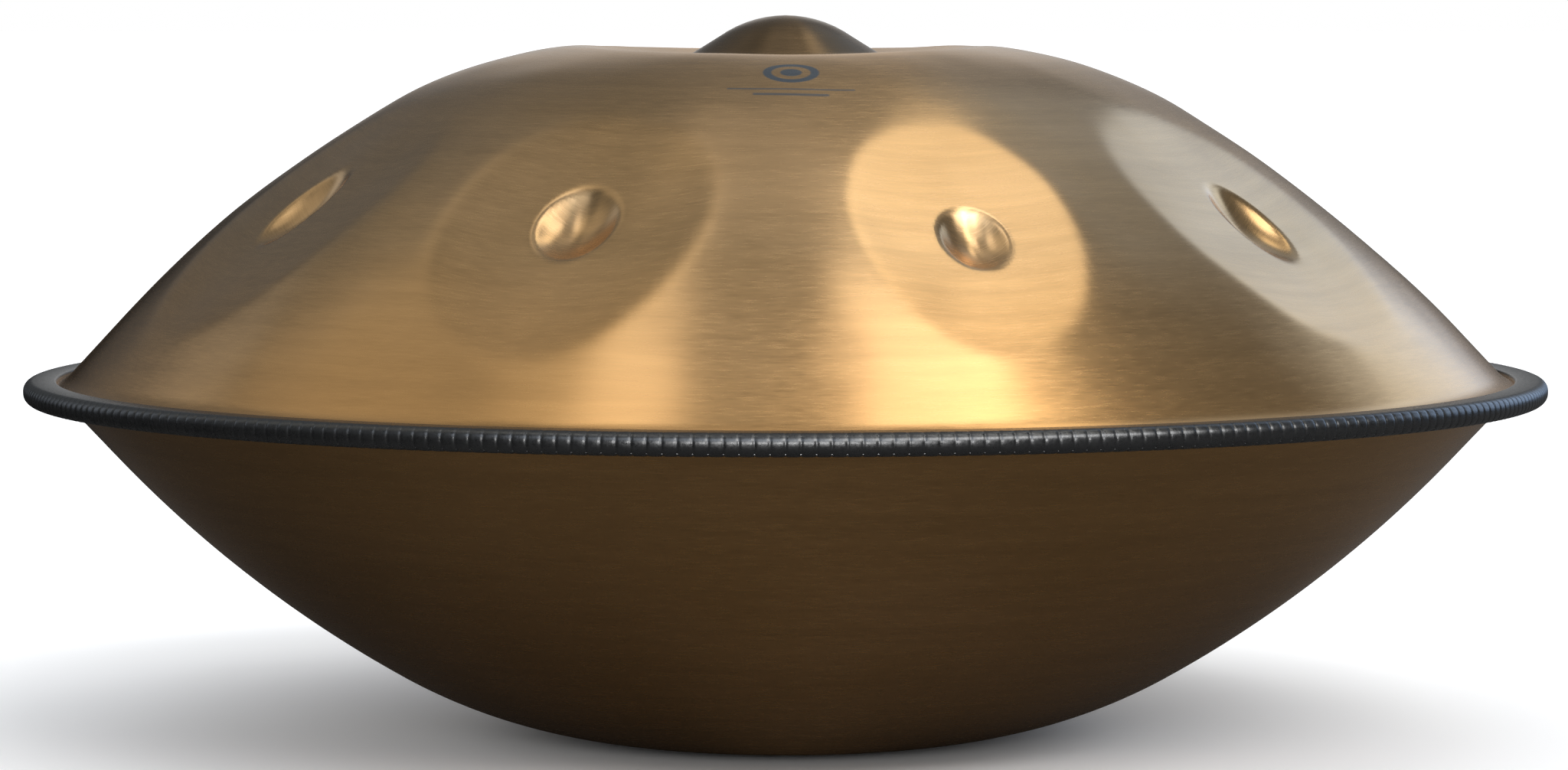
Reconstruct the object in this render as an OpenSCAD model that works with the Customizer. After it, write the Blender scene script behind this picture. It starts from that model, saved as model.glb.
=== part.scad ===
// Handpan: two drawn steel shells bonded flange to flange, with an edge trim round the rim.
// The origin is on the axis at the surface it stands on. +Z is up, and the shell with the
// note fields is on top. Azimuth 0 faces -Y, and azimuths grow towards +X.

/* [Shells] */
// Thickness of the drawn sheet
sheet_t = 1.2; // [1:0.1:1.4]
// Radius at which the sloping wall meets the rim flange
foot_r = 253; // [250:1:255]
// Width of the straight wall next to the flange, seen from above
foot_run = 20; // [16:1:24]
// Radius of the curve of the flank
flank_r = 415; // [400:5:430]
// Radius of the curve between the flank and the top
top_crown_r = 165; // [155:5:175]
// Radius of the curve between the flank and the base
base_crown_r = 182; // [175:1:190]
// Outside radius of the rim flange
flange_r = 262; // [261:0.5:262.5]
// Thickness of the adhesive between the two flanges
bond_t = 0.3; // [0.2:0.1:0.5]

/* [Ding] */
// Level of the flat field round the central dome, below the top of the shell's curve
ding_field_drop = 5.2; // [4:0.1:6]
// Radius of the flat part of that field
ding_flat_r = 48; // [44:1:52]
// Radius of the lip where the field's rise meets the shell's curve
ding_lip_r = 76; // [70:1:80]
// Radius of the central dome at its foot
ding_dome_r = 36; // [32:1:40]
// Height of the central dome over its flat field
ding_dome_h = 14; // [12:0.1:15]

/* [Note fields] */
// Distance of the note fields' centres from the axis
field_ring_r = 187; // [184:1:194]
// Slope of the note fields
field_slope = 38.5; // [37:0.5:40]
// Depth of the dimple in each note field
dimple_depth = 5; // [4:0.5:7]

/* [Port] */
// Radius of the bore of the sound port
port_r = 39; // [36:0.5:40]
// Radius of the bend from the base into the port's neck
port_bend_r = 3.5; // [3:0.5:4]
// Height of the top of the port's neck above the surface
port_neck_h = 22; // [16:1:28]

/* [Edge trim] */
// Outside radius of the edge trim
trim_r = 265; // [264.5:0.5:267]
// Width of the edge trim, from its lips to its back
trim_w = 11.5; // [11:0.5:12.5]
// Thickness of the edge trim
trim_h = 7.7; // [7.5:0.1:9]
// Radius of the trim's outer corners
corner_r = 2.6; // [2:0.1:2.8]
// Gap between the trim's two ends, where they butt together
trim_gap = 0.4; // [0.2:0.1:1]

/* [Hidden] */
$fn = 180;

// Slopes at the two ends of the flank's curve
flank_top_slope = 30;
flank_foot_slope = 47;

// Change of slope between neighbouring points on the two curves
crown_step = 2.5;
flank_step = 1;

// Place and size of each note field: [azimuth, width across, length down the slope, dimple radius].
// The highest note is at the front, and they grow towards the lowest one at the back.
FIELDS = [
    [18.5, 76, 110, 13],
    [-21.5, 92, 116, 16],
    [56, 94, 120, 16.2],
    [-63, 98, 124, 16.8],
    [99, 102, 128, 17.6],
    [-110, 106, 132, 18.8],
    [148, 110, 136, 20],
    [-160, 114, 140, 21],
];

// Colours of the finishes
gold = [0.66, 0.5, 0.28];
dark_gold = [0.45, 0.34, 0.18];
black = [0.09, 0.09, 0.09];
steel = [0.6, 0.6, 0.6];
resin = [0.8, 0.74, 0.55];

// Heights of the shell's curve above the seam, all worked out from the wall's foot upwards
foot_z = 0.65;
flank_end = [foot_r - foot_run, foot_z + foot_run * tan(flank_foot_slope)];
flank_centre = flank_end - flank_r * [sin(flank_foot_slope), cos(flank_foot_slope)];
flank_start = flank_centre + flank_r * [sin(flank_top_slope), cos(flank_top_slope)];
function crown_centre(r) = flank_start - r * [sin(flank_top_slope), cos(flank_top_slope)];
function crown_h(r) = crown_centre(r)[1] + r;

// How far the shells' sections run on past the seam before they are trimmed off
skirt = 6;

// Height of the space taken away over the ding's field, more than its depth below the crown
ding_clearance = 10;

// Height of the middle of the seam above the surface
seam_z = crown_h(base_crown_r);
shell_h = crown_h(top_crown_r);
flange_z = bond_t / 2 + sheet_t;

// Points on an arc between two slopes, where a slope of 0 is at the top of the circle
function arc(centre, r, from, to, step) =
    [for (slope = [from:step:to]) centre + r * [sin(slope), cos(slope)]];

// Half section of everything under a shell's outer face, or under the face an inset t inside it
module half_dome(crown_r, t) {
    crown = arc(crown_centre(crown_r), crown_r - t, 0, flank_top_slope, crown_step);
    flank = arc(flank_centre, flank_r - t, flank_top_slope + flank_step, flank_foot_slope, flank_step);
    wall = flank_end - t * [sin(flank_foot_slope), cos(flank_foot_slope)];
    polygon([
        [0, -skirt],
        [0, crown[0][1]],
        each crown,
        each flank,
        wall + (wall[1] + skirt) * [1 / tan(flank_foot_slope), -1],
    ]);
}

// A note field's own frame: its origin on the shell's curve and +Z along the outward normal
module at_field(azimuth) {
    slope_dir = [sin(field_slope), cos(field_slope)];
    spot = flank_centre + flank_r * slope_dir;
    on_curve = spot + (field_ring_r - spot[0]) * [1, -tan(field_slope)];
    rotate([0, 0, azimuth - 90]) translate([on_curve[0], 0, on_curve[1]])
        rotate([0, field_slope, 0]) children();
}

// Depth to which a field is flattened, so that its outline has the field's mean size
function field_depth(f) = pow(sqrt(f[1] * f[2]) / 2, 2) / (2 * 0.74 * flank_r);

// Everything under the top shell's outer face, or under the face an inset t inside it
module top_body(t) {
    field_z = shell_h - ding_field_drop;
    dome_r = (pow(ding_dome_r, 2) + pow(ding_dome_h, 2)) / (2 * ding_dome_h);
    lip_out = ding_lip_r - crown_centre(top_crown_r)[0];
    lip_z = crown_centre(top_crown_r)[1] + sqrt(pow(top_crown_r, 2) - pow(lip_out, 2));
    rise = ding_clearance / (lip_z - field_z);
    difference() {
        rotate_extrude() half_dome(top_crown_r, t);
        translate([0, 0, field_z - t]) cylinder(
            r1 = ding_flat_r, r2 = ding_flat_r + rise * (ding_lip_r - ding_flat_r), h = ding_clearance);
        for (f = FIELDS) at_field(f[0]) {
            flat = -field_depth(f) - t;
            dimple_r = (pow(f[3], 2) + pow(dimple_depth, 2)) / (2 * dimple_depth);
            translate([-80, -80, flat]) cube([160, 160, 30]);
            translate([0, 0, flat + t + dimple_r - dimple_depth]) sphere(dimple_r + t);
        }
    }
    intersection() {
        translate([0, 0, field_z + ding_dome_h - dome_r]) sphere(dome_r - t);
        translate([-ding_dome_r * 1.5, -ding_dome_r * 1.5, field_z - 8])
            cube([ding_dome_r * 3, ding_dome_r * 3, 40]);
    }
}

// Flat ring of sheet that joins a shell to its neighbour
module flange() {
    translate([0, 0, bond_t / 2]) difference() {
        cylinder(r = flange_r, h = sheet_t);
        translate([0, 0, -1]) cylinder(r = foot_r - 4, h = sheet_t + 2);
    }
}

// Takes away what a shell would have below its flange
module above_bond() {
    difference() {
        children();
        translate([0, 0, bond_t / 2 - 20]) cylinder(r = flange_r + 5, h = 20);
    }
}

module top_shell() {
    color(gold) translate([0, 0, seam_z]) above_bond() difference() {
        union() {
            top_body(0);
            flange();
        }
        top_body(sheet_t);
    }
}

// The neck is the rolled bend and the short tube that the sheet forms round the sound port
module port_neck() {
    bend = [port_r + port_bend_r, port_bend_r];
    rotate_extrude() {
        intersection() {
            translate(bend) difference() {
                circle(port_bend_r);
                circle(port_bend_r - sheet_t);
            }
            square(bend);
        }
        translate([port_r, port_bend_r]) square([sheet_t, port_neck_h - port_bend_r]);
    }
}

module bottom_shell() {
    color(dark_gold) {
        translate([0, 0, seam_z]) mirror([0, 0, 1]) above_bond() difference() {
            union() {
                rotate_extrude() half_dome(base_crown_r, 0);
                flange();
            }
            rotate_extrude() half_dome(base_crown_r, sheet_t);
            cylinder(r = port_r + port_bend_r, h = 2 * seam_z);
        }
        port_neck();
    }
}

// The adhesive fills the joint between the flanges and squeezes out as a bead on the inside
module seam_adhesive() {
    wall_in = foot_r - sheet_t / sin(flank_foot_slope) + (foot_z - bond_t / 2) / tan(flank_foot_slope);
    bead_w = 1.5;
    bead_h = bond_t / 2 + bead_w * tan(flank_foot_slope);
    color(resin) translate([0, 0, seam_z]) rotate_extrude() {
        translate([wall_in, -bond_t / 2]) square([flange_r - wall_in, bond_t]);
        polygon([
            [wall_in, bond_t / 2],
            [wall_in - bead_w, bead_h],
            [wall_in - 1.6 * bead_w, 0],
            [wall_in - bead_w, -bead_h],
            [wall_in, -bond_t / 2],
        ]);
    }
}

// Half section of the trim, a soft channel with round outer corners that grips the flange
module trim_outline() {
    half_h = trim_h / 2;
    back_in = trim_r - corner_r;
    lips_in = trim_r - trim_w;
    translate([lips_in, -half_h]) square([trim_w - corner_r, trim_h]);
    translate([back_in - 1, corner_r - half_h]) square([corner_r + 1, trim_h - 2 * corner_r]);
    for (side = [-1, 1]) {
        intersection() {
            translate([back_in, side * (half_h - corner_r)]) circle(corner_r);
            translate([back_in, -trim_h]) square(2 * trim_h);
        }
    }
}

// Half section of the channel-shaped steel carrier inside the trim
module carrier_outline(leg_in, wall) {
    back = trim_r - 1.2;
    half_h = trim_h / 2 - 1;
    difference() {
        translate([leg_in, -half_h]) square([back - leg_in, 2 * half_h]);
        translate([leg_in - 1, wall - half_h]) square([back - wall - leg_in + 1, 2 * (half_h - wall)]);
    }
}

// Revolves a half section round the rim, leaving the butt joint open at the back
module round_rim() {
    translate([0, 0, seam_z]) difference() {
        rotate_extrude() children();
        translate([-trim_gap / 2, 0, -trim_h]) cube([trim_gap, 2 * trim_r, 2 * trim_h]);
    }
}

carrier_in = trim_r - trim_w + 1.5;
carrier_t = 0.6;

module edge_trim() {
    color(black) round_rim() difference() {
        trim_outline();
        translate([0, -flange_z]) square([flange_r + 0.3, 2 * flange_z]);
        carrier_outline(carrier_in, carrier_t);
    }
}

module trim_carrier() {
    color(steel) round_rim() carrier_outline(carrier_in, carrier_t);
}

top_shell();
bottom_shell();
seam_adhesive();
edge_trim();
trim_carrier();
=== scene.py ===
"""The look of the handpan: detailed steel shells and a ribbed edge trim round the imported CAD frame.

Shapes are worked out in millimetres, with the axis at x = y = 0 and heights measured from the
middle of the seam. Azimuth 0 faces -Y, the player's side, and azimuths grow towards +X.
"""

from math import cos, pi, radians, sin, tan

import bpy
import numpy as np
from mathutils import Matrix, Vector


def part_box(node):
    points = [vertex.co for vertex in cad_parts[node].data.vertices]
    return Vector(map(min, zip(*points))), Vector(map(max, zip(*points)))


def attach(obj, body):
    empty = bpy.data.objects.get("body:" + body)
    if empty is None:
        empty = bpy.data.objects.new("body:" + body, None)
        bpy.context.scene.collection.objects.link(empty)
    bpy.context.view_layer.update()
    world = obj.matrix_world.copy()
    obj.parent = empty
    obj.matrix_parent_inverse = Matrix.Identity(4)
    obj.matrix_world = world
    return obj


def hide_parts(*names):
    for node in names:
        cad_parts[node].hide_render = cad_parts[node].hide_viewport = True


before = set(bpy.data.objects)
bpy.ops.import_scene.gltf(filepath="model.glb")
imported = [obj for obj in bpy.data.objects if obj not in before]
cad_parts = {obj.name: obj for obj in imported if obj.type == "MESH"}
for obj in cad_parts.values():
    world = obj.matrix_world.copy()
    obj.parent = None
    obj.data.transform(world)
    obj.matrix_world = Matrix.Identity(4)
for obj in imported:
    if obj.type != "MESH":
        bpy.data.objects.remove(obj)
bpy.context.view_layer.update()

MM = 0.001

# ---------------------------------------------------------------- sizes, from the frame

TRIM_LOW, TRIM_HIGH = (np.array(corner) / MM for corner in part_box("edge_trim"))
SEAM_Z = (TRIM_LOW[2] + TRIM_HIGH[2]) / 2
TRIM_H = TRIM_HIGH[2] - TRIM_LOW[2]
TRIM_R = min(TRIM_HIGH[0], -TRIM_LOW[0])
FLANGE_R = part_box("top_shell")[1][0] / MM
FLANGE_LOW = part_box("top_shell")[0][2] / MM - SEAM_Z
SHEET_T = 1.2
FLANGE_TOP = FLANGE_LOW + SHEET_T

# ---------------------------------------------------------------- the shells' section

FLANK_START_R = 137.0
FLANK_R = 415.0
FLANK_TOP_SLOPE = radians(30)
FLANK_FOOT_SLOPE = radians(47)
WALL_CORNER_LENGTH = 28.36
TOP_FOOT_BEND_R = 14.0
BASE_FOOT_BEND_R = 4.0
TOP_CROWN_R = 157.0
BASE_CROWN_R = 182.0
SECTION_STEP = 0.1


class Section:
    """A shell's outer face along a meridian: radius, height and slope by distance from the axis."""

    def __init__(self, crown_r, foot_bend_r):
        crown_start = FLANK_START_R - crown_r * sin(FLANK_TOP_SLOPE)
        flank_start = crown_start + crown_r * FLANK_TOP_SLOPE
        flank_turn = FLANK_FOOT_SLOPE - FLANK_TOP_SLOPE
        wall_length = WALL_CORNER_LENGTH - foot_bend_r * tan(FLANK_FOOT_SLOPE / 2)
        wall_end = flank_start + FLANK_R * flank_turn + wall_length
        s = np.arange(0, wall_end + 2 * foot_bend_r + FLANGE_R - FLANK_START_R, SECTION_STEP)
        slope = np.clip((s - crown_start) / crown_r, 0, FLANK_TOP_SLOPE)
        slope += np.clip((s - flank_start) / FLANK_R, 0, flank_turn)
        slope -= np.clip((s - wall_end) / foot_bend_r, 0, FLANK_FOOT_SLOPE)
        middle = (slope[1:] + slope[:-1]) / 2
        r = np.concatenate([[0], np.cumsum(np.cos(middle))]) * SECTION_STEP
        drop = np.concatenate([[0], np.cumsum(np.sin(middle))]) * SECTION_STEP
        on_shell = r <= FLANGE_R
        self.s, self.r, self.slope = s[on_shell], r[on_shell], slope[on_shell]
        self.z = FLANGE_TOP + drop[-1] - drop[on_shell]
        self.length = self.s[-1]
        self.wall_end = wall_end

    def at(self, s):
        values = (np.interp(s, self.s, column) for column in (self.r, self.z, self.slope))
        return tuple(values)

    def distance(self, r):
        return float(np.interp(r, self.r, self.s))


TOP = Section(TOP_CROWN_R, TOP_FOOT_BEND_R)
BASE = Section(BASE_CROWN_R, BASE_FOOT_BEND_R)

# ---------------------------------------------------------------- note fields

# Each field: azimuth, radius of its centre, half width and half length of its flattened ellipse.
# Each dimple: azimuth, radius of its centre, half width and half length, depth.
# They run from the highest note at the front to the lowest at the back.
NOTES = [
    {"field": (18.1, 189, 38, 55.5), "dimple": (18.6, 190.3, 11.6, 14.6, 4.4)},
    {"field": (-22, 189, 46.5, 58.5), "dimple": (-21.5, 184.9, 14.2, 17.9, 5.3)},
    {"field": (56, 188, 48, 61), "dimple": (57.3, 186.5, 12.8, 19.6, 5.0)},
    {"field": (-62.5, 186, 50, 63), "dimple": (-64.2, 182.5, 13, 20.3, 5.2)},
    {"field": (99, 190, 54, 72), "dimple": (99, 186, 14.5, 21.5, 5.5)},
    {"field": (-113, 188, 51, 67), "dimple": (-113, 186, 15.5, 23, 5.8)},
    {"field": (147, 188, 57, 70), "dimple": (147, 186, 16.5, 24, 6.0)},
    {"field": (-161, 188, 59, 72), "dimple": (-161, 186, 17.5, 25.5, 6.2)},
]
# Softness of the outlines of the fields and dimples, where 1 is the way from centre to outline.
FIELD_EDGE = 0.05
DIMPLE_EDGE = 0.05
# The fields' mean radius of curvature, round the axis and down the slope, over the flank's.
FIELD_CURVE_SHARE = 0.87


def soft_positive(x, softness):
    """x where it is positive and 0 where it is negative, with a rounded corner between."""
    return softness * np.logaddexp(0, x / softness)


def inside_ellipse(s, azimuth, centre_azimuth, centre_r, half_width, half_length):
    """1 at the centre of an ellipse on the top shell, 0 on its outline and negative outside."""
    turn = (azimuth - radians(centre_azimuth) + pi) % (2 * pi) - pi
    across = turn * TOP.at(s)[0] / half_width
    along = (s - TOP.distance(centre_r)) / half_length
    return 1 - across**2 - along**2


def field_depth(half_width, half_length):
    """Depth that leaves a field of that size nearly flat on the curved flank."""
    return half_width * half_length / (2 * FLANK_R * FIELD_CURVE_SHARE)


def note_depth(s, azimuth):
    """How far the note fields and their dimples lie below the shell's plain curve."""
    depth = 0
    for note in NOTES:
        field = note["field"]
        in_field = soft_positive(inside_ellipse(s, azimuth, *field), FIELD_EDGE)
        depth = depth + field_depth(*field[2:]) * in_field
        *dimple, dimple_depth = note["dimple"]
        in_dimple = soft_positive(inside_ellipse(s, azimuth, *dimple), DIMPLE_EDGE)
        depth = depth + dimple_depth * in_dimple
    return depth


# ---------------------------------------------------------------- ding

DING_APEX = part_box("top_shell")[1][2] / MM - SEAM_Z
DING_HALF_WIDTH = 71.0
DING_HALF_LENGTH = 88.0
# Share of the field that is flat, and how gently its rise runs out at the lip.
DING_FLAT_SHARE = 0.62
DING_LIP = 0.07
DING_CENTRE_X = -3.0
DOME_R = 40.0
DOME_SLOPE = radians(32)
DOME_FLANK_END_R = 32.0
DOME_FOOT_BEND_R = 10.0
DOME_CROWN_END_R = DOME_R * sin(DOME_SLOPE)
DOME_FOOT_R = DOME_FLANK_END_R + DOME_FOOT_BEND_R * sin(DOME_SLOPE)
DOME_CROWN_DROP = DOME_R * (1 - cos(DOME_SLOPE))
DOME_FLANK_DROP = DOME_CROWN_DROP + (DOME_FLANK_END_R - DOME_CROWN_END_R) * tan(DOME_SLOPE)
DOME_DROP = DOME_FLANK_DROP + DOME_FOOT_BEND_R * (1 - cos(DOME_SLOPE))
DING_FIELD_Z = DING_APEX - DOME_DROP


def dome_drop(r):
    """Drop below the apex of the central dome: a round crown, a straight flank and a rolled foot."""
    crown = DOME_R - np.sqrt(np.maximum(DOME_R**2 - r**2, 0))
    flank = DOME_CROWN_DROP + (r - DOME_CROWN_END_R) * tan(DOME_SLOPE)
    inwards = np.clip(DOME_FOOT_R - r, 0, DOME_FOOT_BEND_R)
    foot = DOME_DROP - DOME_FOOT_BEND_R + np.sqrt(DOME_FOOT_BEND_R**2 - inwards**2)
    return np.select([r < DOME_CROWN_END_R, r < DOME_FLANK_END_R], [crown, flank], foot)


def ding_height(x, y, z):
    """The top of the shell: the central dome, its flat field, and the rise to the field's outline."""
    r = np.hypot(x, y)
    outwards = np.hypot((x - DING_CENTRE_X) / DING_HALF_WIDTH, y / DING_HALF_LENGTH)
    rise = (outwards - DING_FLAT_SHARE) / (1 - DING_FLAT_SHARE)
    rise = np.clip(1 - soft_positive(1 - np.clip(rise, 0, None), DING_LIP), 0, 1)
    field = DING_FIELD_Z + (z - DING_FIELD_Z) * rise**2
    return np.where(r < DOME_FOOT_R, DING_APEX - dome_drop(r), field)


# The top leans down to the right by this slope, in full from this height over the seam upwards.
LEAN = 0.005
LEAN_FULL_HEIGHT = 60.0

# Slight unevenness left by the hammer: wavelength, direction in degrees and height of each wave.
HAMMER_WAVES = [(67, 20, 0.13), (49, 78, 0.09), (41, 131, 0.07), (31, 163, 0.05), (23, 52, 0.03)]
HAMMER_FULL_HEIGHT = 30.0


def hammered(x, y):
    """Height of the hammered unevenness at a place on the top shell, seen from above."""
    height = 0
    for wavelength, direction, wave_height in HAMMER_WAVES:
        turn = radians(direction)
        along = x * cos(turn) + y * sin(turn)
        height = height + wave_height * np.sin(2 * pi * along / wavelength + turn)
    return height


def top_face(s, azimuth):
    """Points of the top shell's outer face, by distance along the meridian and azimuth."""
    r, z, slope = TOP.at(s)
    depth = note_depth(s, azimuth)
    r = r - depth * np.sin(slope)
    z = z - depth * np.cos(slope)
    x, y = r * np.sin(azimuth), -r * np.cos(azimuth)
    z = z - LEAN * x * np.clip(z / LEAN_FULL_HEIGHT, 0, 1)
    z = z + hammered(x, y) * np.clip(z / HAMMER_FULL_HEIGHT, 0, 1)
    return np.stack([x, y, ding_height(x, y, z)], axis=-1)


# ---------------------------------------------------------------- meshes


SPREAD_SAMPLES = 4000


def spread(start, end, count, crowded):
    """Positions from start to end, closer together in each (centre, half width, times) stretch."""
    fine = np.linspace(start, end, SPREAD_SAMPLES)
    density = np.ones_like(fine)
    for centre, half_width, times in crowded:
        density += (times - 1) / (1 + (np.abs(fine - centre) / half_width) ** 6)
    total = np.concatenate([[0], np.cumsum((density[1:] + density[:-1]) / 2)])
    return np.interp(np.linspace(0, total[-1], count), total, fine)


def ring_faces(rows, columns, closed_rows=False):
    """Quads of a grid that closes round its columns, and round its rows too if it is a loop."""
    last = rows if closed_rows else rows - 1
    row, column = np.meshgrid(np.arange(last), np.arange(columns), indexing="ij")
    next_row, next_column = (row + 1) % rows, (column + 1) % columns
    corners = [
        row * columns + column,
        next_row * columns + column,
        next_row * columns + next_column,
        row * columns + next_column,
    ]
    return np.stack(corners, axis=-1).reshape(-1, 4).tolist()


def piece(name, points, faces, material, node):
    """A smooth piece that stands for a CAD node, from points in millimetres round the seam's middle."""
    mesh = bpy.data.meshes.new(name)
    placed = (np.asarray(points).reshape(-1, 3) + (0, 0, SEAM_Z)) * MM
    mesh.from_pydata(placed.tolist(), [], faces)
    mesh.materials.append(material)
    mesh.shade_smooth()
    mesh.validate()
    thing = bpy.data.objects.new(name, mesh)
    bpy.context.scene.collection.objects.link(thing)
    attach(thing, "root")
    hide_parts(node)
    return thing


# ---------------------------------------------------------------- top shell

TOP_COLUMNS = 560
TOP_ROWS = 132
INNER_ROW_STEP = 4
# The rows and columns are closer together round the dimples, whose centres lie near this ring.
DIMPLE_RING_R = 186.0
DIMPLE_SECTOR = radians(6)
DIMPLE_CROWDING = 2.6


def top_shell(material):
    """The top shell as one closed sheet: its outer face, the flange's edge and its inner face."""
    dimple_sectors = [(radians(note["dimple"][0]), DIMPLE_SECTOR, DIMPLE_CROWDING) for note in NOTES]
    azimuths = spread(-pi, pi, TOP_COLUMNS + 1, dimple_sectors)
    dimple_band = (TOP.distance(DIMPLE_RING_R), 21, DIMPLE_CROWDING)
    dome_foot = (DOME_FOOT_R - 3, 6, 3)
    lip = ((DING_HALF_WIDTH + DING_HALF_LENGTH) / 2, 12, 2)
    foot = (TOP.wall_end + TOP_FOOT_BEND_R / 2, 8, 3)
    distances = spread(0, TOP.length, TOP_ROWS + 1, [dimple_band, dome_foot, lip, foot])[1:]
    outer = top_face(distances[:, None], azimuths[None, :-1])
    along = np.gradient(outer, axis=0)
    across = np.roll(outer, -1, axis=1) - np.roll(outer, 1, axis=1)
    outward = np.cross(along, across)
    outward /= np.linalg.norm(outward, axis=-1, keepdims=True)
    inner = (outer - SHEET_T * outward)[::-INNER_ROW_STEP]
    points = np.concatenate([outer, inner])
    faces = ring_faces(len(points), TOP_COLUMNS)
    apex, under_apex = len(points) * TOP_COLUMNS, len(points) * TOP_COLUMNS + 1
    last_ring = (len(points) - 1) * TOP_COLUMNS
    for column in range(TOP_COLUMNS):
        beside = (column + 1) % TOP_COLUMNS
        faces.append((apex, column, beside))
        faces.append((under_apex, last_ring + beside, last_ring + column))
    poles = [(0, 0, DING_APEX), (0, 0, DING_APEX - SHEET_T)]
    points = np.concatenate([points.reshape(-1, 3), poles])
    return piece("top_shell_drawn", points, faces, material, "top_shell")


# ---------------------------------------------------------------- bottom shell

PORT_R = 39.0
PORT_BEND_R = 3.5
PORT_NECK_TOP = 22.0
BASE_COLUMNS = 240
BASE_ROWS = 90
BEND_POINTS = 8


def revolved(outline, azimuths):
    """Points of an outline of (radius, height) pairs turned to each azimuth."""
    outline = np.asarray(outline)
    r, z = outline[:, :1], outline[:, 1:]
    return np.stack([r * np.sin(azimuths), -r * np.cos(azimuths), z + 0 * azimuths], axis=-1)


def base_outline():
    """The bottom shell's closed outline: outer face, port neck and back along the inner face."""
    port_land = PORT_R + PORT_BEND_R
    bend_centre = (port_land, -SEAM_Z + PORT_BEND_R)
    neck_top = PORT_NECK_TOP - SEAM_Z
    start = BASE.distance(port_land)
    distances = spread(start, BASE.length, BASE_ROWS, [(BASE.wall_end, 3, 3)])[::-1]
    r, z, slope = BASE.at(distances)
    outer = np.stack([r, -z], axis=-1)
    inner = np.stack([r - SHEET_T * np.sin(slope), SHEET_T * np.cos(slope) - z], axis=-1)
    turns = np.linspace(0, pi / 2, BEND_POINTS)[1:]

    def bend(radius):
        return [(bend_centre[0] - radius * sin(a), bend_centre[1] - radius * cos(a)) for a in turns]

    edge_r = SHEET_T / 2
    edge_turns = np.linspace(0, pi, BEND_POINTS)
    edge = [(PORT_R + edge_r - edge_r * cos(a), neck_top - edge_r + edge_r * sin(a)) for a in edge_turns]
    return [*outer, *bend(PORT_BEND_R), *edge, *bend(PORT_BEND_R - SHEET_T)[::-1], *inner[::-1]]


def bottom_shell(material):
    azimuths = np.linspace(-pi, pi, BASE_COLUMNS, endpoint=False)
    points = revolved(base_outline(), azimuths)
    faces = ring_faces(len(points), BASE_COLUMNS, closed_rows=True)
    return piece("bottom_shell_drawn", points, faces, material, "bottom_shell")


# ---------------------------------------------------------------- edge trim

TRIM_W = 11.5
TRIM_CORNER_R = 3.4
TRIM_LIP_R = 0.9
TRIM_SLOT_R = 262.3
TRIM_GAP = 0.4
RIBS = 350
RIB_HEIGHT = 0.32
# Places across one rib, as shares of its width, and the share of its height at each of them.
RIB_SHARES = (-0.5, -0.42, -0.26, 0.0, 0.26, 0.42)
RIB_PROFILE = (0.0, 0.75, 0.96, 1.0, 0.96, 0.75)
# The ribs start this far in from the trim's back, and reach full height over RIB_RISE.
RIB_REACH = 9.0
RIB_RISE = 2.0
# They fade between these depths below the trim's top, to this share of their height.
RIB_FADE = (1.8, 0.2)
RIB_TOP_SHARE = 0.35
CORNER_POINTS = 7


def corner(centre_r, centre_z, radius, start, end, count=CORNER_POINTS):
    """Points on an arc, with its angles in degrees from straight out."""
    angles = np.radians(np.linspace(start, end, count))
    return np.stack([centre_r + radius * np.cos(angles), centre_z + radius * np.sin(angles)], axis=-1)


def trim_outline():
    """The trim's U-shaped outline, from its lower lip round its back to its upper lip and slot."""
    half = TRIM_H / 2
    lips = TRIM_R - TRIM_W
    back = TRIM_R - TRIM_CORNER_R
    return np.concatenate([
        corner(lips + TRIM_LIP_R, TRIM_LIP_R - half, TRIM_LIP_R, 180, 270, 4),
        corner(back, TRIM_CORNER_R - half, TRIM_CORNER_R, 270, 360),
        corner(back, half - TRIM_CORNER_R, TRIM_CORNER_R, 0, 90),
        corner(lips + TRIM_LIP_R, half - TRIM_LIP_R, TRIM_LIP_R, 90, 180, 4),
        [(lips, FLANGE_TOP), (TRIM_SLOT_R, FLANGE_TOP), (TRIM_SLOT_R, -FLANGE_TOP), (lips, -FLANGE_TOP)],
    ])


def rib_share(outline):
    """How much of a rib's height each point of the outline has: all on its back, less on its top."""
    fade = [TRIM_H / 2 - depth for depth in RIB_FADE]
    out = np.clip((outline[:, 0] - (TRIM_R - RIB_REACH)) / RIB_RISE, 0, 1)
    return out * np.interp(outline[:, 1], fade, [1, RIB_TOP_SHARE])


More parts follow.
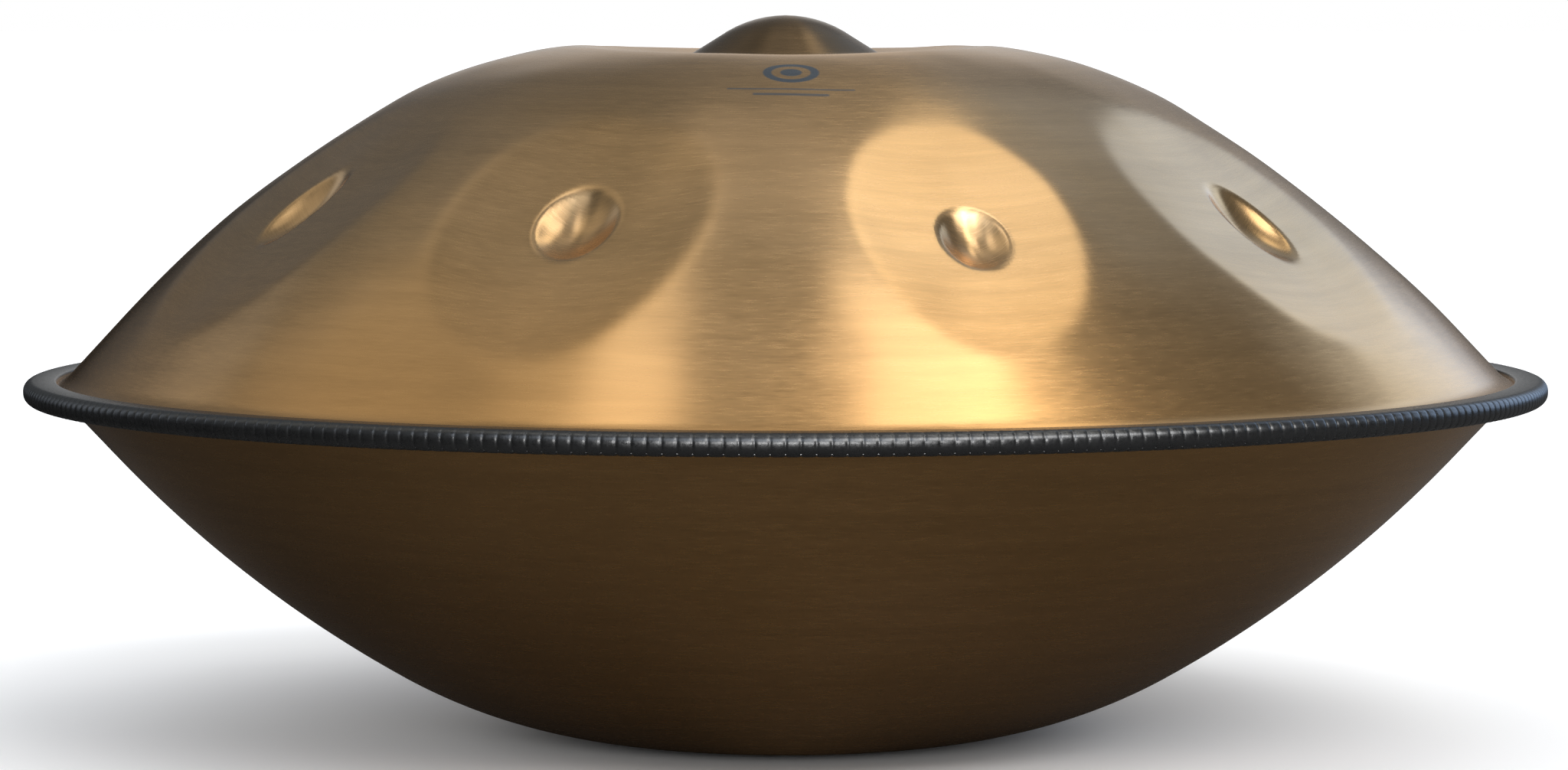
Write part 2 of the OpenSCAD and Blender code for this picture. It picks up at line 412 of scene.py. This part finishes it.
def edge_trim(material):
    """The ribbed trim, open at the butt joint at the back."""
    outline = trim_outline()
    outline_rows = len(outline)
    half_gap = TRIM_GAP / 2 / TRIM_R
    shares = np.array([rib + share for rib in range(RIBS) for share in RIB_SHARES])
    azimuths = -pi + 2 * pi * (shares + 0.5) / RIBS
    inside = (azimuths > half_gap - pi) & (azimuths < pi - half_gap)
    peaks = np.tile(RIB_PROFILE, RIBS)[inside]
    azimuths = azimuths[inside]
    azimuths = np.concatenate([[half_gap - pi], azimuths, [pi - half_gap]])
    peaks = np.concatenate([[0], peaks, [0]])
    sink = RIB_HEIGHT * rib_share(outline)[:, None] * (1 - peaks)
    centre = np.array([TRIM_R - TRIM_CORNER_R, 0])
    inwards = centre - outline
    inwards /= np.linalg.norm(inwards, axis=1, keepdims=True)
    r = outline[:, :1] + sink * inwards[:, :1]
    z = outline[:, 1:] + sink * inwards[:, 1:]
    points = np.stack([r * np.sin(azimuths), -r * np.cos(azimuths), z], axis=-1).transpose(1, 0, 2)
    columns = len(azimuths)
    faces = []
    for column in range(columns - 1):
        for row in range(outline_rows):
            above = (row + 1) % outline_rows
            here, beside = column * outline_rows, (column + 1) * outline_rows
            faces.append((here + row, beside + row, beside + above, here + above))
    last = (columns - 1) * outline_rows
    faces.append(tuple(range(outline_rows)))
    faces.append(tuple(range(last + outline_rows - 1, last - 1, -1)))
    return piece("edge_trim_ribbed", points, faces, material, "edge_trim")


# ---------------------------------------------------------------- materials


class Shader:
    """A material's node tree, with short ways to add and join nodes."""

    def __init__(self, name):
        self.material = bpy.data.materials.new(name)
        self.material.use_nodes = True
        self.nodes = self.material.node_tree.nodes
        self.links = self.material.node_tree.links
        self.surface = self.nodes["Principled BSDF"]

    def node(self, kind, inputs=(), **settings):
        made = self.nodes.new("ShaderNode" + kind)
        for key, value in settings.items():
            setattr(made, key, value)
        for key, value in dict(inputs).items():
            self.feed(made.inputs[key], value)
        return made

    def feed(self, socket, value):
        if isinstance(value, bpy.types.NodeSocket):
            self.links.new(value, socket)
        else:
            socket.default_value = value

    def set(self, **values):
        for key, value in values.items():
            self.feed(self.surface.inputs[key.replace("_", " ")], value)

    def math(self, operation, *values):
        return self.node("Math", dict(enumerate(values)), operation=operation).outputs[0]

    def length(self, a, b):
        squares = [self.math("MULTIPLY", part, part) for part in (a, b)]
        return self.math("SQRT", self.math("ADD", *squares))

    def noise(self, vector, scale, detail=2.0, roughness=0.5):
        inputs = {"Vector": vector, "Scale": scale, "Detail": detail, "Roughness": roughness}
        return self.node("TexNoise", inputs).outputs["Fac"]

    def ramp(self, value, low, high, to_low=0.0, to_high=1.0):
        inputs = {"Value": value, 1: low, 2: high, 3: to_low, 4: to_high}
        return self.node("MapRange", inputs, clamp=True).outputs[0]

    def mix(self, share, low, high):
        inputs = {0: share, 6: low, 7: high}
        return self.node("Mix", inputs, data_type="RGBA").outputs[2]

    def bump(self, height, distance, strength):
        inputs = {"Height": height, "Distance": distance, "Strength": strength}
        return self.node("Bump", inputs).outputs["Normal"]


GOLD_BRIGHT = (0.79, 0.51, 0.26, 1)
GOLD_DARK = (0.69, 0.435, 0.205, 1)
WARM_REFLECTION_COLOUR = (0.82, 0.47, 0.19, 1)
BASE_GOLD_BRIGHT = (0.84, 0.48, 0.2, 1)
BASE_GOLD_DARK = (0.74, 0.41, 0.15, 1)
# Distances from the axis, in metres, over which a painted warm reflection turns the steel amber and the
# dome's shade ends.
WARM_REFLECTION_OFF_AXIS = (0.195, 0.245)
DOME_EDGE_OFF_AXIS = (0.031, 0.039)
DOME_SHADE = 0.36
# Noise of the scratches and of the wider bands: scale along them, scale across them, detail.
GRAIN = (140.0, 2000.0, 3.0)
BANDS = (14.0, 260.0, 2.0)
STEEL_ROUGHNESS = 0.26
ROUGHNESS_SPREAD = 0.03

# The etched ornament, in metres: a ring round a dot, over two plain rules, all centred on ETCH_X.
ETCH_COLOUR = (0.24, 0.27, 0.3, 1)
RULE_STRENGTH = 0.8
ETCH_X = 0.0018
ETCH_OFF_AXIS = 0.1094
ETCH_FORESHORTENING = 0.9
ETCH_EDGE = 0.0003
RING_R = 0.0079
RING_HALF_WIDTH = 0.0014
DOT_R = 0.0036
# Each rule: distance below the ring's centre, half length, half width.
RULES = [(0.0145, 0.021, 0.0005), (0.0185, 0.0125, 0.0008)]


def etched(shader, axes, off_axis):
    """1 on the etched ornament and 0 elsewhere."""

    def within(value, limit):
        return shader.ramp(value, limit - ETCH_EDGE, limit + ETCH_EDGE, 1.0, 0.0)

    across = shader.math("SUBTRACT", axes[0], ETCH_X)
    below = shader.math("SUBTRACT", off_axis, ETCH_OFF_AXIS)
    below = shader.math("DIVIDE", below, ETCH_FORESHORTENING)
    away = shader.length(across, below)
    from_ring = shader.math("ABSOLUTE", shader.math("SUBTRACT", away, RING_R))
    mark = shader.math("MAXIMUM", within(away, DOT_R), within(from_ring, RING_HALF_WIDTH))
    for rule_below, half_length, half_width in RULES:
        from_rule = shader.math("ABSOLUTE", shader.math("SUBTRACT", below, rule_below))
        along = within(shader.math("ABSOLUTE", across), half_length)
        rule = shader.math("MULTIPLY", along, within(from_rule, half_width))
        mark = shader.math("MAXIMUM", mark, shader.math("MULTIPLY", rule, RULE_STRENGTH))
    in_front = shader.math("LESS_THAN", axes[1], 0.0)
    on_top = shader.math("GREATER_THAN", axes[2], SEAM_Z * MM)
    return shader.math("MULTIPLY", mark, shader.math("MULTIPLY", in_front, on_top))


def brushed_gold(name, bright, dark, ornament=False):
    """Heat-tinted steel with fine scratches that run round the axis."""
    shader = Shader(name)
    place = shader.node("TexCoord").outputs["Object"]
    axes = shader.node("SeparateXYZ", {0: place}).outputs
    off_axis = shader.length(axes[0], axes[1])

    def streaks(along, across, detail):
        stretched = shader.node("CombineXYZ", {
            0: shader.math("MULTIPLY", axes[0], along),
            1: shader.math("MULTIPLY", axes[1], along),
            2: shader.math("MULTIPLY", off_axis, across),
        }).outputs[0]
        return shader.noise(stretched, 1.0, detail, 0.6)

    grain = streaks(*GRAIN)
    bands = streaks(*BANDS)
    cloud = shader.noise(place, 14.0, 3.0)
    tone_and_reflection = shader.mix(shader.ramp(cloud, 0.3, 0.7), dark, bright)
    # Painted reflection: towards the rim the colour turns amber, a warm reflection painted into the
    # steel.
    tone_and_reflection = shader.mix(shader.ramp(off_axis, *WARM_REFLECTION_OFF_AXIS), tone_and_reflection, WARM_REFLECTION_COLOUR)
    fine_streak = shader.ramp(grain, 0.25, 0.75, 0.9, 1.07)
    broad_streak = shader.ramp(bands, 0.3, 0.7, 0.93, 1.05)
    streak = shader.math("MULTIPLY", fine_streak, broad_streak)
    dome_shade = shader.ramp(off_axis, *DOME_EDGE_OFF_AXIS, DOME_SHADE, 1.0)
    streak = shader.math("MULTIPLY", streak, dome_shade)
    colour = shader.node("VectorMath", {0: tone_and_reflection, 1: streak}, operation="MULTIPLY").outputs[0]
    if ornament:
        colour = shader.mix(etched(shader, axes, off_axis), colour, ETCH_COLOUR)
    roughness = (STEEL_ROUGHNESS - ROUGHNESS_SPREAD, STEEL_ROUGHNESS + ROUGHNESS_SPREAD)
    shader.set(
        Base_Color=colour,
        Metallic=1.0,
        Roughness=shader.ramp(grain, 0.2, 0.8, *roughness),
        Anisotropic=0.75,
        Anisotropic_Rotation=0.25,
        Tangent=shader.node("Tangent", direction_type="RADIAL", axis="Z").outputs[0],
        Normal=shader.bump(grain, distance=0.00002, strength=0.45),
    )
    return shader.material


def trim_rubber():
    """Semi-matte black rubber with a fine uneven skin."""
    shader = Shader("black_rubber")
    place = shader.node("TexCoord").outputs["Object"]
    skin = shader.noise(place, 900.0, 3.0, 0.6)
    patches = shader.noise(place, 60.0, 2.0)
    shader.set(
        Base_Color=shader.mix(patches, (0.004, 0.004, 0.004, 1), (0.008, 0.008, 0.008, 1)),
        Roughness=shader.ramp(skin, 0.3, 0.7, 0.24, 0.38),
        IOR=1.8,
        Normal=shader.bump(skin, distance=0.00012, strength=0.5),
    )
    return shader.material


def epoxy():
    """Cured adhesive, pale amber and slightly glossy."""
    shader = Shader("epoxy")
    place = shader.node("TexCoord").outputs["Object"]
    cloud = shader.noise(place, 120.0, 2.0)
    shader.set(
        Base_Color=shader.mix(cloud, (0.62, 0.52, 0.3, 1), (0.74, 0.66, 0.44, 1)),
        Roughness=0.3,
        Normal=shader.bump(cloud, distance=0.0003, strength=0.5),
    )
    return shader.material


def strip_steel():
    """Plain rolled steel strip."""
    shader = Shader("strip_steel")
    place = shader.node("TexCoord").outputs["Object"]
    grain = shader.noise(place, 400.0, 3.0)
    shader.set(
        Base_Color=shader.mix(grain, (0.45, 0.45, 0.46, 1), (0.6, 0.6, 0.61, 1)),
        Metallic=1.0,
        Roughness=shader.ramp(grain, 0.3, 0.7, 0.3, 0.42),
    )
    return shader.material


# ---------------------------------------------------------------- camera

CAMERA_DISTANCE = 2.0
CAMERA_ELEVATION = radians(4.01)
LENS_MM = 131.0
SENSOR_MM = 36.0
SHIFT_RIGHT = -0.001


def camera():
    """A long lens a little above the seam, aimed at its middle."""
    data = bpy.data.cameras.new("camera")
    data.lens = LENS_MM
    data.sensor_width = SENSOR_MM
    data.shift_x = SHIFT_RIGHT
    thing = bpy.data.objects.new("camera", data)
    target = Vector((0, 0, SEAM_Z * MM))
    away = Vector((0, -cos(CAMERA_ELEVATION), sin(CAMERA_ELEVATION)))
    thing.location = target + CAMERA_DISTANCE * away
    thing.rotation_euler = away.to_track_quat("Z", "Y").to_euler()
    bpy.context.scene.collection.objects.link(thing)
    bpy.context.scene.camera = thing


# ---------------------------------------------------------------- studio

# Directions are vectors with x to the right, y to the back and z up.


def overhead(right, back):
    """A direction that leans from straight up by angles in degrees."""
    return tan(radians(right)), tan(radians(back)), 1.0


def level(azimuth, elevation):
    """A direction by its elevation and its azimuth, which is 0 straight to the back, in degrees."""
    turn, lift = radians(azimuth), radians(elevation)
    return sin(turn) * cos(lift), cos(turn) * cos(lift), sin(lift)


def front(azimuth, elevation):
    """A direction on the viewer's side, with azimuths that grow from the middle to the right."""
    return level(180 - azimuth, elevation)


WARM = (1.05, 1.0, 0.85)
WHITE = (1.0, 1.0, 1.0)
COOL = (0.9, 1.0, 1.15)
SKY = (0.8, 1.1, 1.6)

# Each softbox: direction, half width and half height in degrees, softness of its edge, colour and
# strength. The names say where it shows in the metal or which way it lies.
SOFTBOXES = {
    "left_bar": (overhead(-14.5, -9), 4.5, 9, 0.045, WHITE, 1.65),
    "left_bar_tail": (overhead(-14.5, 7), 4.5, 7, 0.045, WARM, 0.6),
    "left_bar_side": (overhead(-23, -5), 5, 6, 0.045, WARM, 0.6),
    "left_fill": (overhead(-36, 14), 15, 16, 0.08, WARM, 0.3),
    "middle_front": (overhead(-5.5, -13), 4.5, 4.5, 0.045, COOL, 0.35),
    "middle_back": (overhead(-2, 19), 8, 5, 0.045, WHITE, 0.5),
    "middle": (overhead(-2, 5), 8, 8, 0.045, WARM, 0.13),
    "right_bar": (overhead(13.5, -4.5), 7.5, 4.5, 0.045, WHITE, 3.8),
    "right_bar_end": (overhead(25, -12), 5, 5, 0.045, WARM, 3.0),
    "right_bar_tail": (overhead(12, 7), 6, 7, 0.045, WARM, 0.35),
    "right_patch": (overhead(16.5, 20), 4, 6, 0.045, WARM, 2.1),
    "high_back_right": (overhead(24, 40), 9, 14, 0.1, SKY, 0.22),
    "high_back": (overhead(-10, 40), 40, 14, 0.1, COOL, 0.05),
    "back": (level(0, 12), 7, 12, 0.08, WHITE, 0.6),
    "back_right_gap": (level(16, 12), 7, 12, 0.08, WHITE, 0.16),
    "back_right": (level(33, 18), 9, 17, 0.08, SKY, 0.95),
    "back_far_right": (level(56, 18), 9, 16, 0.1, SKY, 1.0),
    "back_far_left": (level(-52, 18), 9, 16, 0.1, COOL, 0.42),
    "key": (front(26, 38), 12.5, 11, 0.06, WHITE, 6.2),
    "key_right": (front(52, 37), 12.5, 11, 0.06, WHITE, 5.0),
    "key_middle": (front(0, 38), 12.5, 12, 0.06, COOL, 2.2),
    "key_left": (front(-28, 38), 14, 12, 0.06, COOL, 1.2),
    "key_top": (front(26, 60), 16, 11, 0.06, WHITE, 0.7),
    "rim_light": (front(3, 12), 17, 5, 0.06, WHITE, 12.0),
}
# Even light added above the horizon. It is full where a unit direction is this high or higher.
AMBIENT = (0.13, 0.14, 0.15)
AMBIENT_FULL_HEIGHT = 0.35
BACKDROP = (1.0, 1.0, 1.0)
FLOOR_FILL = 0.95
# A unit direction that reaches less far than this along a softbox's aim lies beside or behind it.
LEAST_AHEAD = 0.01


def softbox_mask(tree, direction, aim, half_width, half_height, softness):
    """How much of a soft-edged rectangle of light lies in a direction, from 0 to 1."""
    aim = Vector(aim).normalized()
    side = (Vector((1, 0, 0)) - aim.x * aim).normalized()
    up = side.cross(aim)

    def node(kind, operation, *values):
        made = tree.nodes.new("ShaderNode" + kind)
        made.operation = operation
        for socket, value in zip(made.inputs, values):
            if isinstance(value, bpy.types.NodeSocket):
                tree.links.new(value, socket)
            else:
                socket.default_value = value
        return made.outputs["Value"]

    ahead = node("VectorMath", "DOT_PRODUCT", direction, aim)
    depth = node("Math", "MAXIMUM", ahead, LEAST_AHEAD)
    mask = node("Math", "GREATER_THAN", ahead, LEAST_AHEAD)
    for axis, half_angle in ((side, half_width), (up, half_height)):
        half = tan(radians(half_angle))
        offset = node("Math", "ABSOLUTE", node("VectorMath", "DOT_PRODUCT", direction, axis))
        reach = tree.nodes.new("ShaderNodeMapRange")
        reach.interpolation_type = "SMOOTHSTEP"
        tree.links.new(node("Math", "DIVIDE", offset, depth), reach.inputs[0])
        for index, value in enumerate((half + softness, half - softness, 0.0, 1.0), start=1):
            reach.inputs[index].default_value = value
        mask = node("Math", "MULTIPLY", mask, reach.outputs[0])
    return mask


def studio():
    """A pale backdrop for the camera, softboxes for the metal to reflect, even light for the floor."""
    world = bpy.data.worlds.new("studio")
    bpy.context.scene.world = world
    world.use_nodes = True
    tree = world.node_tree
    tree.nodes.clear()

    def add(kind):
        return tree.nodes.new("ShaderNode" + kind)

    direction = add("TexCoord").outputs["Generated"]
    height = add("SeparateXYZ")
    tree.links.new(direction, height.inputs[0])
    haze = add("MapRange")
    haze.interpolation_type = "SMOOTHSTEP"
    tree.links.new(height.outputs["Z"], haze.inputs[0])
    haze.inputs[2].default_value = AMBIENT_FULL_HEIGHT
    masks = [(haze.outputs[0], AMBIENT, 1.0)]
    for *place, colour, strength in SOFTBOXES.values():
        masks.append((softbox_mask(tree, direction, *place), colour, strength))
    total = None
    for mask, colour, strength in masks:
        lit = add("VectorMath")
        lit.operation = "MULTIPLY_ADD"
        lit.inputs[0].default_value = [strength * part for part in colour]
        tree.links.new(mask, lit.inputs[1])
        if total:
            tree.links.new(total, lit.inputs[2])
        total = lit.outputs[0]
    ray = add("LightPath").outputs

    def background(colour):
        made = add("Background")
        if isinstance(colour, bpy.types.NodeSocket):
            tree.links.new(colour, made.inputs["Color"])
        else:
            made.inputs["Color"].default_value = (*colour, 1)
        return made.outputs[0]

    def choose(share, first, second):
        made = add("MixShader")
        for socket, value in zip(made.inputs, (share, first, second)):
            tree.links.new(value, socket)
        return made.outputs[0]

    seen = choose(ray["Is Diffuse Ray"], background(total), background((FLOOR_FILL,) * 3))
    seen = choose(ray["Is Camera Ray"], seen, background(BACKDROP))
    tree.links.new(seen, add("OutputWorld").inputs["Surface"])


FLOOR_HALF = 30.0
# The floor lies this far under the part, in metres, so that the two surfaces don't coincide.
FLOOR_DROP = 0.0005
FLOOR_PAINT = (0.95, 0.95, 0.95, 1)
# What the metal sees of the floor: a grey that brightens over this stretch from left to right.
DIM_STRETCH = (-0.43, -0.14)
DIM_GREYS = (0.015, 0.07)


def floor():
    """A wide pale floor that gives the metal only a dim reflection."""
    mesh = bpy.data.meshes.new("floor")
    signs = [(-1, -1), (1, -1), (1, 1), (-1, 1)]
    corners = [(x * FLOOR_HALF, y * FLOOR_HALF, 0) for x, y in signs]
    mesh.from_pydata(corners, [], [(0, 1, 2, 3)])
    shader = Shader("floor_paint")
    nodes, links = shader.nodes, shader.links
    across = shader.node("SeparateXYZ", {0: shader.node("TexCoord").outputs["Object"]}).outputs[0]
    dim_grey = shader.ramp(across, *DIM_STRETCH, *DIM_GREYS)
    pale = shader.node("BsdfDiffuse", {"Color": FLOOR_PAINT}).outputs[0]
    dim = shader.node("BsdfDiffuse", {"Color": dim_grey}).outputs[0]
    both = shader.node("MixShader")
    links.new(shader.node("LightPath").outputs["Is Glossy Ray"], both.inputs[0])
    links.new(pale, both.inputs[1])
    links.new(dim, both.inputs[2])
    links.new(both.outputs[0], nodes["Material Output"].inputs["Surface"])
    mesh.materials.append(shader.material)
    thing = bpy.data.objects.new("floor", mesh)
    thing.location.z = -FLOOR_DROP
    bpy.context.scene.collection.objects.link(thing)


def finish_node(name, material):
    """Gives a CAD node that stays visible its material."""
    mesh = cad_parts[name].data
    mesh.materials.clear()
    mesh.materials.append(material)


camera()
studio()
floor()
bpy.context.scene.view_settings.view_transform = "Standard"

top_shell(brushed_gold("brushed_gold", GOLD_BRIGHT, GOLD_DARK, ornament=True))
bottom_shell(brushed_gold("brushed_gold_base", BASE_GOLD_BRIGHT, BASE_GOLD_DARK))
edge_trim(trim_rubber())
finish_node("seam_adhesive", epoxy())
finish_node("trim_carrier", strip_steel())
